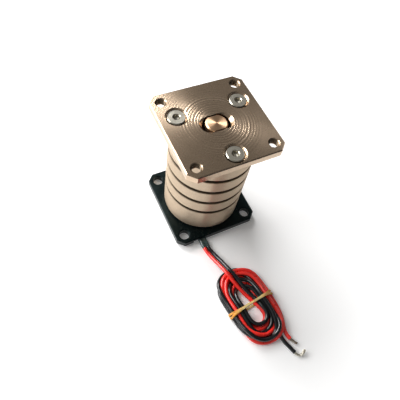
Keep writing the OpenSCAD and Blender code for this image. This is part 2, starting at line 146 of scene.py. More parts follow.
# Bare strands at the tips, in millimetres: twist is the length of one turn
STRANDS = 6
STRAND_R = 0.2
STRAND_RING_R = 0.36
STRAND_CURVE_STEP = 0.1
STRAND_STEP = 0.12
STRAND_ROUNDNESS = 2
RED_TWIST = 5.0
RED_SPLAY = (0.1, 0.5, 0.2)
BLACK_TWIST = 6.0
BLACK_SPLAY = (0.0, 0.25, 0.1)

# Heat-shrink sleeve round both leads, in millimetres: its middle in x and z, the rings at each
# end and along the run between (first, last, count), and waves as size, rate and phase
SLEEVE_MID = (-8.5, 1.07)
SLEEVE_HALF_PITCH = 0.9
SLEEVE_START = -16.0
SLEEVE_LEN = 8.5
SLEEVE_WALL = 0.14
SLEEVE_LOWEST = 0.03
SLEEVE_SIDES = 40
SLEEVE_END_RINGS = (0.0, 0.08, 0.25)
SLEEVE_RUN = (0.6, 7.9, 16)
SLEEVE_END_ROUND = 0.25
SLEEVE_END_SHRINK = 0.12
SLEEVE_WAVES = ((0.035, 2.1, 0.0), (0.02, 5.3, 1.0))
SLEEVE_WAIST = 0.3
WAIST_SHARPNESS = 6
SIDE_SHARPNESS = 4.0

# Tapped corner holes of the top plate, in millimetres: half the ridge's height at its foot and
# at its crest, and the ring at the mouth as radius and height
TAP_PLACE = 15.75
TAP_R = 2.0
CREST_R = 1.66
ROOT_R = TAP_R + 0.03
FADED_R = TAP_R - 0.02
THREAD_PITCH = 0.7
THREAD_LOW = 53.3
THREAD_HIGH = 55.9
THREAD_STEPS = 28
THREAD_FADE = 6
RIDGE_FOOT = 0.33
RIDGE_CREST = 0.06
MOUTH_RING = ((ROOT_R, 56.22), (CREST_R, 55.86), (CREST_R, 55.76), (ROOT_R, 55.45))
MOUTH_SIDES = 48

# Plate screws, in metres and degrees
SCREW_CIRCLE_R = 0.015
SCREW_ANGLES = (30, 150, 270)

# Marks on turned metal: noise scales per metre, the radii in metres over which the rings fade
# and the share of them that is left, and the turn of the gloss from along the rings to across.
# FLAT_RANGE is the upward part of a face's normal, from upright faces to flat ones.
WIDE_RINGS = 1250
FINE_RINGS = 3400
FINE_LINES = 3600
METAL_GRAIN = 2000
METAL_SMEAR = 150
SMEAR_DEPTH = 0.012
RING_FADE = (0.012, 0.0175)
RINGS_LEFT = 0.12
RECESS_DULLING = 0.1
ACROSS_RINGS = 0.25
FLAT_RANGE = (0.6, 0.9)

# Stage: half width and level of the floor, the tone with which it lights the object, its glow,
# and the distances over which that rises to white
WHITE = (1.0, 1.0, 1.0)
FLOOR_HALF = 2.5
FLOOR_LEVEL = -0.00004
FLOOR_TONE = (0.80, 0.80, 0.80)
FLOOR_GLOW = 0.095
FLOOR_FADE = (0.45, 1.3)

# Surroundings that the metal mirrors: the way in which each band gets brighter, the range of
# that, and its two tones. Between the two heights the horizon gives way to what is overhead.
HORIZON = ((-0.6, 0.8), (-0.2, 0.9), (0.10, 0.10, 0.10), (1.3, 1.3, 1.3))
OVERHEAD = ((-0.87, 0.5), (-0.5, 0.1), (0.08, 0.08, 0.08), (0.226, 0.219, 0.208))
HORIZON_HEIGHTS = (0.2, 0.55)

# Lamps: name, place and size in metres, power in watts
LAMP_AIM = (0, -0.02, 0.02)
LAMPS = (
    ("back", (-0.14, 1.06, 0.74), (0.7, 0.5), 20.5),
    ("left", (-0.50, 0.39, 0.42), (0.6, 0.36), 4.7),
    ("top", (-0.36, 0.20, 0.70), (0.24, 0.16), 0.6),
)


def add_camera():
    data = bpy.data.cameras.new("camera")
    data.sensor_width = CAMERA_SENSOR
    data.lens = CAMERA_LENS
    data.shift_x, data.shift_y = CAMERA_SHIFT
    data.clip_start = CAMERA_NEAR
    camera = bpy.data.objects.new("camera", data)
    bpy.context.scene.collection.objects.link(camera)
    columns = (CAMERA_RIGHT, CAMERA_UP, CAMERA_BACK, CAMERA_PLACE)
    rows = [[column[r] for column in columns] for r in range(3)]
    camera.matrix_world = Matrix(rows + [[0, 0, 0, 1]])
    bpy.context.scene.camera = camera


# Routes of the two leads

def hank_to_part(p):
    """A point given about the middle of the hank, in the part's frame."""
    c, s = math.cos(HANK_TURN), math.sin(HANK_TURN)
    return (HANK_MID[0] + c * p[0] - s * p[1], HANK_MID[1] + s * p[0] + c * p[1], p[2])


def part_to_hank(p):
    """The reverse of hank_to_part, for an array of points."""
    c, s = math.cos(HANK_TURN), math.sin(HANK_TURN)
    dx, dy = p[:, 0] - HANK_MID[0], p[:, 1] - HANK_MID[1]
    return np.column_stack([c * dx + s * dy, c * dy - s * dx, p[:, 2]])


def reach_along(line):
    """How far along a line each of its points lies."""
    return np.concatenate([[0], np.cumsum(np.linalg.norm(np.diff(line, axis=0), axis=1))])


def smooth_line(points, step):
    """A Catmull-Rom curve through the points."""
    p = np.array(points, float)
    p = np.vstack([2 * p[0] - p[1], p, 2 * p[-1] - p[-2]])
    line = []
    for i in range(1, len(p) - 2):
        a, b, c, d = p[i - 1:i + 3]
        count = max(2, int(np.linalg.norm(c - b) / step))
        for t in np.linspace(0, 1, count, endpoint=False):
            square = (2 * a - 5 * b + 4 * c - d) * t ** 2
            cube = (3 * b - a - 3 * c + d) * t ** 3
            line.append(0.5 * (2 * b + (c - a) * t + square + cube))
    line.append(p[-2])
    return np.array(line)


def even_line(points, step):
    """The same line with its points a step apart."""
    reach = reach_along(points)
    places = np.linspace(0, reach[-1], int(round(reach[-1] / step)) + 1)
    return np.column_stack([np.interp(places, reach, points[:, k]) for k in range(points.shape[1])])


def quarter_turn(start, side, end, corner):
    """Points from (start, 0) along the side and round a corner to (0, end)."""
    angles = np.linspace(0, math.pi / 2, CORNER_POINTS)
    arc = [(side - corner + corner * math.cos(t), end - corner + corner * math.sin(t)) for t in angles]
    points = np.array([(start, 0.0)] + arc + [(0.0, end)])
    return even_line(points, reach_along(points)[-1] / QUARTER_POINTS)


def hank_turns(stations):
    """The turns of one lead through its stations, clockwise seen from above."""
    ways = [(1, 0), (0, -1), (-1, 0), (0, 1)]
    path = []
    for i in range(len(stations) - 1):
        (a, za), (b, zb) = stations[i], stations[i + 1]
        wa, wb = ways[i % 4], ways[(i + 1) % 4]
        outer = max(a, b) > OUTER_LONG and min(a, b) > OUTER_SHORT
        share = CORNER_ROUND[i % 4] if outer else 1.0
        if i % 2 == 0:
            side = FIRST_SHOULDER if i == 0 else a
            quarter = quarter_turn(a, side, b, share * min(side, b))
        else:
            quarter = quarter_turn(b, b, a, share * min(a, b))[::-1, ::-1]
        for j, (u, v) in enumerate(quarter[:-1]):
            rise = 0.5 - 0.5 * math.cos(math.pi * j / (len(quarter) - 1))
            path.append((wa[0] * u + wb[0] * v, wa[1] * u + wb[1] * v, za + (zb - za) * rise))
    path.append((stations[-1][0], 0.0, stations[-1][1]))
    return path


def lead_route(lead, over, stations, tail, tip):
    in_hank = [hank_to_part(p) for p in over + hank_turns(stations) + tail]
    return even_line(smooth_line(lead + in_hank + tip[:1], CURVE_STEP), POINT_STEP)


def straighten(line, free, passes):
    """Bending stiffness: takes out kinks and keeps long curves."""
    for _ in range(passes):
        bow = np.zeros_like(line)
        bow[1:-1] = 0.5 * (line[:-2] + line[2:]) - line[1:-1]
        turn = np.zeros_like(line)
        turn[2:-2] = bow[1:-3] + bow[3:-1] - 2 * bow[2:-2]
        line -= BEND_SHARE * turn * free


def settle(routes, frees):
    """Lets the leads sink on the floor and on each other, a diameter apart."""
    counts = [len(r) for r in routes]
    ends = np.cumsum(counts)
    points = np.vstack(routes)
    home = points.copy()
    free = np.concatenate(frees)[:, None]
    wire = np.repeat(np.arange(len(routes)), counts)
    place = np.concatenate([np.arange(n) for n in counts])
    along = part_to_hank(home)
    in_hank = (np.abs(along[:, 0]) < HANK_HALF[0]) & (np.abs(along[:, 1]) < HANK_HALF[1])
    lift = BAND_T * np.exp(-(along[:, 1] / BAND_LIFT_SPREAD) ** 2) * in_hank
    lowest = WIRE_D / 2 + lift
    close_by = np.abs(place[:, None] - place[None, :]) < OWN_POINTS
    same = (wire[:, None] == wire[None, :]) & close_by
    for i in range(SETTLE_ROUNDS):
        points[:, 2] -= SINK_STEP * free[:, 0]
        points[:, :2] += HOME_PULL * (home[:, :2] - points[:, :2]) * free
        for end, count in zip(ends, counts):
            own = slice(end - count, end)
            straighten(points[own], free[own], BEND_PASSES)
        if i % NEAR_EVERY == 0:
            gaps = ((points[:, None, :] - points[None, :, :]) ** 2).sum(-1)
            first, second = np.nonzero(np.triu((gaps < NEAR_GAP ** 2) & ~same))
        for _ in range(PUSH_PASSES):
            apart = points[first] - points[second]
            gap = np.sqrt((apart ** 2).sum(-1)) + TINY
            push = PUSH_SHARE * np.maximum(WIRE_D - gap, 0)[:, None] / gap[:, None] * apart
            np.add.at(points, first, push * free[first])
            np.add.at(points, second, -push * free[second])
            points[:, 2] = np.maximum(points[:, 2], lowest)
    return [points[end - count:end] for end, count in zip(ends, counts)]


def settled_leads():
    routes = [
        lead_route(RED_LEAD, RED_OVER, RED_TURNS, RED_TAIL, RED_TIP),
        lead_route(BLACK_LEAD, BLACK_OVER, BLACK_TURNS, BLACK_TAIL, BLACK_TIP),
    ]
    frees = []
    for route in routes:
        free = np.ones(len(route))
        free[:np.argmax(route[:, 1] < LEAD_HELD_TO)] = 0
        free[-TIP_POINTS_HELD:] = 0
        frees.append(free)
    routes = settle(routes, frees)
    for route, free in zip(routes, frees):
        straighten(route, free[:, None], LAST_BEND_PASSES)
    return routes


# Materials

def new_material(name):
    material = bpy.data.materials.new(name)
    material.use_nodes = True
    tree = material.node_tree
    tree.nodes.clear()
    output = tree.nodes.new("ShaderNodeOutputMaterial")
    shader = tree.nodes.new("ShaderNodeBsdfPrincipled")
    tree.links.new(shader.outputs[0], output.inputs[0])
    return material, tree, shader


def put(tree, socket, value):
    """Sets a socket to a constant, or links it to another socket."""
    if isinstance(value, bpy.types.NodeSocket):
        tree.links.new(value, socket)
    elif socket.type == "RGBA":
        socket.default_value = (*value, 1.0)
    else:
        socket.default_value = value


def calc(tree, operation, a, b=0.0):
    node = tree.nodes.new("ShaderNodeMath")
    node.operation = operation
    put(tree, node.inputs[0], a)
    put(tree, node.inputs[1], b)
    return node.outputs[0]


def vector(tree, operation, a, b=(0, 0, 0)):
    node = tree.nodes.new("ShaderNodeVectorMath")
    node.operation = operation
    put(tree, node.inputs[0], a)
    put(tree, node.inputs[1], b)
    return node.outputs["Value"] if operation in ("LENGTH", "DOT_PRODUCT") else node.outputs[0]


def place_on_part(tree):
    return tree.nodes.new("ShaderNodeTexCoord").outputs["Object"]


def noise(tree, scale, detail):
    node = tree.nodes.new("ShaderNodeTexNoise")
    node.inputs["Scale"].default_value = scale
    node.inputs["Detail"].default_value = detail
    put(tree, node.inputs["Vector"], place_on_part(tree))
    return node.outputs["Fac"]


def line_noise(tree, along, scale, detail):
    """Noise that changes in one direction only, such as turning marks."""
    node = tree.nodes.new("ShaderNodeTexNoise")
    node.noise_dimensions = "1D"
    node.inputs["Scale"].default_value = scale
    node.inputs["Detail"].default_value = detail
    put(tree, node.inputs["W"], along)
    return node.outputs["Fac"]


def blend_colours(tree, factor, a, b):
    node = tree.nodes.new("ShaderNodeMix")
    node.data_type = "RGBA"
    put(tree, node.inputs["Factor"], factor)
    put(tree, node.inputs["A"], a)
    put(tree, node.inputs["B"], b)
    return node.outputs["Result"]


def span(tree, value, low, high, to_low, to_high):
    """Carries a value from one range over to another and stops at its ends."""
    node = tree.nodes.new("ShaderNodeMapRange")
    for k, v in enumerate((value, low, high, to_low, to_high)):
        put(tree, node.inputs[k], v)
    return node.outputs[0]


def spread(tree, pattern, to_low=0.0, to_high=1.0, low=0.3, high=0.7):
    """Carries noise, which mostly lies between low and high, over to another range."""
    return span(tree, pattern, low, high, to_low, to_high)


def bump(tree, shader, height, strength, distance):
    node = tree.nodes.new("ShaderNodeBump")
    node.inputs["Strength"].default_value = strength
    node.inputs["Distance"].default_value = distance
    put(tree, node.inputs["Height"], height)
    tree.links.new(node.outputs[0], shader.inputs["Normal"])


def radius_about(tree, centres=((0.0, 0.0),)):
    """Distance from the nearest of some upright axes."""
    at = place_on_part(tree)
    nearest = None
    for x, y in centres:
        flat = vector(tree, "MULTIPLY", vector(tree, "SUBTRACT", at, (x, y, 0)), (1, 1, 0))
        reach = vector(tree, "LENGTH", flat)
        nearest = reach if nearest is None else calc(tree, "MINIMUM", nearest, reach)
    return nearest


def upward_share(tree):
    """1 on faces that lie flat, 0 on upright ones."""
    normal = tree.nodes.new("ShaderNodeTexCoord").outputs["Normal"]
    parts = tree.nodes.new("ShaderNodeSeparateXYZ")
    tree.links.new(normal, parts.inputs[0])
    return span(tree, calc(tree, "ABSOLUTE", parts.outputs[2]), *FLAT_RANGE, 0.0, 1.0)


def height_on_part(tree):
    parts = tree.nodes.new("ShaderNodeSeparateXYZ")
    tree.links.new(place_on_part(tree), parts.inputs[0])
    return parts.outputs[2]


def add_tangent(tree, shader, amount):
    """Stretches the gloss across the marks that turning leaves round the upright axis."""
    node = tree.nodes.new("ShaderNodeTangent")
    node.direction_type = "RADIAL"
    node.axis = "Z"
    tree.links.new(node.outputs[0], shader.inputs["Tangent"])
    shader.inputs["Anisotropic"].default_value = amount
    shader.inputs["Anisotropic Rotation"].default_value = ACROSS_RINGS


def turned_metal(name, colour, dark, rough, marks, pull=0.6, centres=((0.0, 0.0),),
                 painted_recess_shade=None, rim=None, metal=1.0, facing=None):
    """Metal turned on a lathe: ring marks on flat faces, fine lines on upright ones.

    rough gives the roughness of flat and upright faces, marks the heights in metres of wide
    rings, fine rings and lines, pull how far the marks stretch the gloss. The recess entry gives
    two radii between which the metal turns dull and is darkened inwards, and the share of its
    tone that is left: painted shade, in grooves and sockets. rim is the tint of the metal where
    it is seen at a flat angle, metal how far it is metal and not coating. facing gives the pitch
    and depth of even rings, as one pass of a facing tool leaves them.
    """
    material, tree, shader = new_material(name)
    shader.inputs["Metallic"].default_value = metal
    wide_h, fine_h, line_h = marks
    reach = radius_about(tree, centres)
    flat = upward_share(tree)
    upright = calc(tree, "SUBTRACT", 1.0, flat)
    wide = line_noise(tree, reach, WIDE_RINGS, detail=1.0)
    fine = line_noise(tree, reach, FINE_RINGS, detail=2.0)
    lines = line_noise(tree, height_on_part(tree), FINE_LINES, detail=3.0)
    rings = calc(tree, "ADD", calc(tree, "MULTIPLY", wide, wide_h),
                 calc(tree, "MULTIPLY", fine, fine_h))
    if facing:
        pitch, depth = facing
        even = calc(tree, "SINE", calc(tree, "MULTIPLY", reach, 2 * math.pi / pitch))
        rings = calc(tree, "ADD", rings, calc(tree, "MULTIPLY", even, depth / 2))
    rings = calc(tree, "MULTIPLY", rings, span(tree, reach, *RING_FADE, 1.0, RINGS_LEFT))
    height = calc(tree, "ADD", calc(tree, "MULTIPLY", rings, flat),
                  calc(tree, "MULTIPLY", calc(tree, "MULTIPLY", lines, line_h), upright))
    grain = spread(tree, noise(tree, METAL_GRAIN, detail=2.0), low=0.35, high=0.65)
    tint = calc(tree, "MULTIPLY", grain, spread(tree, wide, 0.5, 1.0))
    tone = blend_colours(tree, tint, colour, dark)
    wear = calc(tree, "ADD", calc(tree, "MULTIPLY", flat, rough[0] - rough[1]), rough[1])
    smear = spread(tree, noise(tree, METAL_SMEAR, detail=2.0), -SMEAR_DEPTH, SMEAR_DEPTH)
    gloss = calc(tree, "ADD", wear, smear)
    # Painted shade: towards the inside of a groove or screw socket the tone is mixed down to a share of
    # the dark tone, standing in for the shade that falls there, and the roughness rises too.
    if painted_recess_shade:
        inner, outer, share = painted_recess_shade
        painted_shade_inside = span(tree, reach, inner, outer, 1.0, 0.0)
        tone = blend_colours(tree, painted_shade_inside, tone, tuple(share * v for v in dark))
        gloss = calc(tree, "ADD", gloss, calc(tree, "MULTIPLY", painted_shade_inside, RECESS_DULLING))
    put(tree, shader.inputs["Base Color"], tone)
    put(tree, shader.inputs["Roughness"], gloss)
    bump(tree, shader, height, strength=1.0, distance=1.0)
    if pull:
        add_tangent(tree, shader, pull)
    if rim:
        shader.inputs["Specular Tint"].default_value = (*rim, 1.0)
    return material


def anodised_black(name, colour, pale):
    """Satin black coat: fine grain, and a faint cloud in colour and gloss."""
    material, tree, shader = new_material(name)
    grain = noise(tree, scale=6500, detail=2.0)
    cloud = noise(tree, scale=140, detail=4.0)
    put(tree, shader.inputs["Base Color"], blend_colours(tree, spread(tree, cloud), colour, pale))
    put(tree, shader.inputs["Roughness"], spread(tree, cloud, 0.24, 0.32))
    shader.inputs["Specular IOR Level"].default_value = 0.25
    shader.inputs["Specular Tint"].default_value = (0.75, 1.0, 1.0, 1.0)
    bump(tree, shader, grain, strength=0.25, distance=0.00002)
    return material


def soft_plastic(name, colour, deep, rough, specular):
    """Extruded soft insulation: nearly even, with a faint waver in colour and gloss."""
    material, tree, shader = new_material(name)
    waver = noise(tree, scale=420, detail=3.0)
    skin_grain = noise(tree, scale=2600, detail=2.0)
    tone = blend_colours(tree, spread(tree, waver, low=0.35), colour, deep)
    put(tree, shader.inputs["Base Color"], tone)
    put(tree, shader.inputs["Roughness"], spread(tree, waver, rough - 0.05, rough + 0.06))
    shader.inputs["Specular IOR Level"].default_value = specular
    bump(tree, shader, skin_grain, strength=0.12, distance=0.00003)
    return material


def matte_rubber(name, colour, deep, rough):
    """Moulded rubber with hardly any gloss."""
    material, tree, shader = new_material(name)
    mottle = noise(tree, scale=900, detail=4.0)
    put(tree, shader.inputs["Base Color"], blend_colours(tree, spread(tree, mottle), colour, deep))
    put(tree, shader.inputs["Roughness"], spread(tree, mottle, rough - 0.06, rough + 0.08))
    bump(tree, shader, mottle, strength=0.2, distance=0.00004)
    return material


def amber_band(name):
    """Stretched rubber: pale and clear in the middle of the hank, deep amber at its sides."""
    material, tree, shader = new_material(name)
    mottle = noise(tree, scale=900, detail=4.0)
    middle = tuple(v * MM for v in (*HANK_MID, 0))
    crosswise = (math.cos(HANK_TURN), math.sin(HANK_TURN), 0)
    from_middle = vector(tree, "SUBTRACT", place_on_part(tree), middle)
    reach = calc(tree, "ABSOLUTE", vector(tree, "DOT_PRODUCT", from_middle, crosswise))
    pale = blend_colours(tree, spread(tree, mottle), (0.70, 0.55, 0.25), (0.60, 0.46, 0.18))
    deep = blend_colours(tree, spread(tree, mottle), (0.74, 0.36, 0.06), (0.62, 0.27, 0.04))
    tone = blend_colours(tree, span(tree, reach, *AMBER_FADE, 0.0, 1.0), pale, deep)
    put(tree, shader.inputs["Base Color"], tone)
    put(tree, shader.inputs["Roughness"], spread(tree, mottle, 0.3, 0.42))
    shader.inputs["Subsurface Weight"].default_value = 0.3
    shader.inputs["Subsurface Radius"].default_value = (1.0, 0.6, 0.25)
    shader.inputs["Subsurface Scale"].default_value = 0.0008
    bump(tree, shader, mottle, strength=0.2, distance=0.00004)
    return material


def bright_metal(name, colour, dark, rough, scale=700):
    """Drawn or plated metal without turning marks."""
    material, tree, shader = new_material(name)
    shader.inputs["Metallic"].default_value = 1.0
    mottle = noise(tree, scale, detail=4.0)
    tone = blend_colours(tree, spread(tree, mottle, low=0.35), colour, dark)
    put(tree, shader.inputs["Base Color"], tone)
    put(tree, shader.inputs["Roughness"], spread(tree, mottle, rough - 0.06, rough + 0.08))
    bump(tree, shader, mottle, strength=0.15, distance=0.00003)
    return material


# Shapes of the small pieces

def new_object(name, data, material, body):
    piece = bpy.data.objects.new(name, data)
    bpy.context.scene.collection.objects.link(piece)
    data.materials.append(material)
    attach(piece, body)
    return piece


def curve_data(name, lines, radius, roundness):
    """A round tube along each line, given in millimetres."""
    data = bpy.data.curves.new(name, "CURVE")
    data.dimensions = "3D"
    data.bevel_depth = radius * MM
    data.bevel_resolution = roundness
    data.use_fill_caps = True
    for line in lines:
        spline = data.splines.new("POLY")
        spline.points.add(len(line) - 1)
        for point, place in zip(spline.points, line):
            point.co = (*[float(v) * MM for v in place], 1.0)
    return data


def skin(build, rings, closed=False, smooth=False):
    """Faces between each ring of points and the next; closed joins the last to the first too."""
    following = rings[1:] + rings[:1] if closed else rings[1:]
    for a, b in zip(rings, following):
        for k in range(len(a)):
            n = (k + 1) % len(a)
            build.faces.new((a[k], a[n], b[n], b[k])).smooth = smooth


def cap_ends(build, rings):
    build.faces.new(rings[0])
    build.faces.new(rings[-1][::-1])


def finished_mesh(name, build):
    mesh = bpy.data.meshes.new(name)
    bmesh.ops.recalc_face_normals(build, faces=build.faces)
    build.to_mesh(mesh)
    build.free()
    return mesh


def strand_bundle(route, twist, splay):
    """Twisted strands round a route: one in the middle, the others round it, cut unevenly."""
    line = even_line(smooth_line(route, STRAND_CURVE_STEP), STRAND_STEP)
    ahead = np.gradient(line, axis=0)
    ahead /= np.linalg.norm(ahead, axis=1)[:, None]
    side = np.cross(ahead, (0, 0, 1))
    side /= np.linalg.norm(side, axis=1)[:, None]
    up = np.cross(side, ahead)
    reach = reach_along(line)
    strands = [line]
    for k in range(STRANDS):
        turn = 2 * math.pi * (k / STRANDS + reach / twist)
        out = STRAND_RING_R * (1 + splay[k % len(splay)] * (reach / reach[-1]) ** 3)
        strand = line + (out * np.cos(turn))[:, None] * side + (out * np.sin(turn))[:, None] * up
        keep = len(line) - (k * 7) % 5
        strands.append(strand[:keep])
    return strands


def hull_outline(discs, radius):
    """Convex outline round discs in a plane, as points in order."""
    angles = np.linspace(0, 2 * math.pi, DISC_POINTS, endpoint=False)
    rims = ((x + radius * math.cos(a), z + radius * math.sin(a)) for x, z in discs for a in angles)
    points = sorted(rims)

    def half(run):
        chain = []
        for p in run:
            while len(chain) > 1:
                (ax, ay), (bx, by) = chain[-2], chain[-1]
                if (bx - ax) * (p[1] - ay) - (by - ay) * (p[0] - ax) > 0:
                    break
                chain.pop()
            chain.append(p)
        return chain[:-1]

    loop = half(points) + half(points[::-1])
    return np.array(loop + loop[:1])


def band_loops(routes):
    """Two wraps of the rubber band round all strands, one over the other in the middle."""
    discs = []
    for route in routes:
        local = part_to_hank(route)
        for a, b in zip(local[:-1], local[1:]):
            if a[1] * b[1] < 0 and abs(a[0]) < HANK_HALF[0]:
                t = a[1] / (a[1] - b[1])
                discs.append((a[0] + t * (b[0] - a[0]), a[2] + t * (b[2] - a[2])))
    outline = even_line(hull_outline(discs, WIRE_D / 2 + BAND_T / 2 + BAND_CLEAR), BAND_STEP)[:-1]
    x, z = outline.T
    share = (x - x.min()) / np.ptp(x)
    # 0 on the lowest third of the outline, 1 on the highest
    above = np.clip((z - z.min()) / np.ptp(z) * 3 - 1, 0, 1)
    pinch = above * np.sin(math.pi * share) ** PINCH_POWER
    drifts = [(left + (right - left) * share) * (1 - pinch) for right, left in BAND_ENDS]
    ride = np.clip(RIDE_REACH - np.abs(drifts[0] - drifts[1]) / BAND_W, 0, 1) * above
    over = np.column_stack([x, z + (BAND_T + WRAP_CLEAR) * ride])
    return [(outline, drifts[0]), (over, drifts[1])]


def band_mesh(name, wraps):
    """Flat rubber strip with rounded edges along each closed wrap."""
    build = bmesh.new()
    flat_w, flat_t = BAND_W / 2 - BAND_SOFT, BAND_T / 2 - BAND_SOFT
    profile = []
    for cx, cy, first in ((1, 1, 0), (-1, 1, 90), (-1, -1, 180), (1, -1, 270)):
        for step in (0, 30, 60, 90):
            angle = math.radians(first + step)
            profile.append((cx * flat_w + BAND_SOFT * math.cos(angle),
                            cy * flat_t + BAND_SOFT * math.sin(angle)))
    for outline, drift in wraps:
        ahead = np.roll(outline, -1, axis=0) - np.roll(outline, 1, axis=0)
        ahead /= np.linalg.norm(ahead, axis=1)[:, None]
        out = np.column_stack([ahead[:, 1], -ahead[:, 0]])
        rings = []
        for (x, z), (ox, oz), across in zip(outline, out, drift):
            ring = []
            for w, t in profile:
                p = hank_to_part((x + t * ox, across + w, z + t * oz))
                ring.append(build.verts.new([v * MM for v in p]))
            rings.append(ring)
        skin(build, rings, closed=True, smooth=True)
    return finished_mesh(name, build)


def sleeve_mesh(name):
    """Heat-shrink drawn tight round both leads, with soft ends."""
    build = bmesh.new()
    mid_x, mid_z = SLEEVE_MID
    ends = np.array(SLEEVE_END_RINGS)
    rings = []
    for along in np.concatenate([ends, np.linspace(*SLEEVE_RUN), SLEEVE_LEN - ends[::-1]]):
        edge = min(along, SLEEVE_LEN - along)
        shrink = SLEEVE_END_SHRINK * max(0.0, 1 - edge / SLEEVE_END_ROUND) ** 2
        wave = sum(size * math.sin(along * rate + phase) for size, rate, phase in SLEEVE_WAVES)
        ring = []
        for k in range(SLEEVE_SIDES):
            angle = 2 * math.pi * k / SLEEVE_SIDES
            waist = SLEEVE_WAIST * math.exp(-(math.cos(angle) * WAIST_SHARPNESS) ** 2)
            reach = WIRE_D / 2 + SLEEVE_WALL - shrink + (wave - waist) * abs(math.sin(angle))
            shift = SLEEVE_HALF_PITCH * math.tanh(SIDE_SHARPNESS * math.cos(angle))
            x = mid_x + shift + reach * math.cos(angle)
            z = max(SLEEVE_LOWEST, mid_z + reach * math.sin(angle))
            ring.append(build.verts.new((x * MM, (SLEEVE_START - along) * MM, z * MM)))
        rings.append(ring)
    skin(build, rings, smooth=True)
    cap_ends(build, rings)
    return finished_mesh(name, build)


def ring_in_hole(build, hole, angle, profile):
    """A section of a ridge on a hole's wall, from the radius and height of its points."""
    ring = []
    for r, z in profile:
        x = hole[0] + r * math.cos(angle)
        y = hole[1] + r * math.sin(angle)
        ring.append(build.verts.new((x * MM, y * MM, z * MM)))
    return ring


def thread_mesh(name):
    """Threads of the top plate's four corner holes: a tapered ridge wound up each wall."""
    build = bmesh.new()
    turns = (THREAD_HIGH - THREAD_LOW) / THREAD_PITCH - 1
    steps = int(turns * THREAD_STEPS)
    for hole in [(x * TAP_PLACE, y * TAP_PLACE) for x in (-1, 1) for y in (-1, 1)]:
        ridge = []
        for i in range(steps + 1):
            share = i / steps
            fade = min(1.0, THREAD_FADE * share, THREAD_FADE * (1 - share))
            crest = FADED_R - fade * (FADED_R - CREST_R)
            z = THREAD_LOW + THREAD_PITCH * (0.5 + turns * share)
            profile = ((ROOT_R, z - RIDGE_FOOT), (crest, z - RIDGE_CREST),
                       (crest, z + RIDGE_CREST), (ROOT_R, z + RIDGE_FOOT))
            ridge.append(ring_in_hole(build, hole, 2 * math.pi * turns * share, profile))
        skin(build, ridge)
        cap_ends(build, ridge)
        mouth = [ring_in_hole(build, hole, 2 * math.pi * i / MOUTH_SIDES, MOUTH_RING)
                 for i in range(MOUTH_SIDES)]
        skin(build, mouth, closed=True)
    return finished_mesh(name, build)


def add_leads(finish):
    red_route, black_route = settled_leads()
    red = new_object("red_wire",
                     curve_data("red_wire", [red_route], WIRE_D / 2, WIRE_ROUNDNESS),
                     finish["red_insulation"], "coil_side")
    black = new_object("black_wire",
                       curve_data("black_wire", [black_route], WIRE_D / 2, WIRE_ROUNDNESS),
                       finish["black_insulation"], "coil_side")
    red_strands = strand_bundle(RED_TIP, RED_TWIST, RED_SPLAY)
    red_tip = new_object("red_strands",
                         curve_data("red_strands", red_strands, STRAND_R, STRAND_ROUNDNESS),
                         finish["dull_strands"], "coil_side")
    black_strands = strand_bundle(BLACK_TIP, BLACK_TWIST, BLACK_SPLAY)
    black_tip = new_object("black_strands",
                           curve_data("black_strands", black_strands, STRAND_R, STRAND_ROUNDNESS),
                           finish["tinned_wire"], "coil_side")
    sleeve = new_object("shrink_tube", sleeve_mesh("shrink_tube"),
                        finish["shrink_tube"], "coil_side")
    band = new_object("hank_band", band_mesh("hank_band", band_loops((red_route, black_route))),
                      finish["amber_rubber"], "coil_side")
    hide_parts("red_lead", "lead_hank", "red_tail")
    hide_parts("black_lead", "black_tail")
    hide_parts("red_tip")
    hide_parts("black_tip")
    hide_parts("shrink_sleeve")
    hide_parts("rubber_band")


def screw_centres():
    angles = [math.radians(a) for a in SCREW_ANGLES]
    return [(SCREW_CIRCLE_R * math.cos(a), SCREW_CIRCLE_R * math.sin(a)) for a in angles]


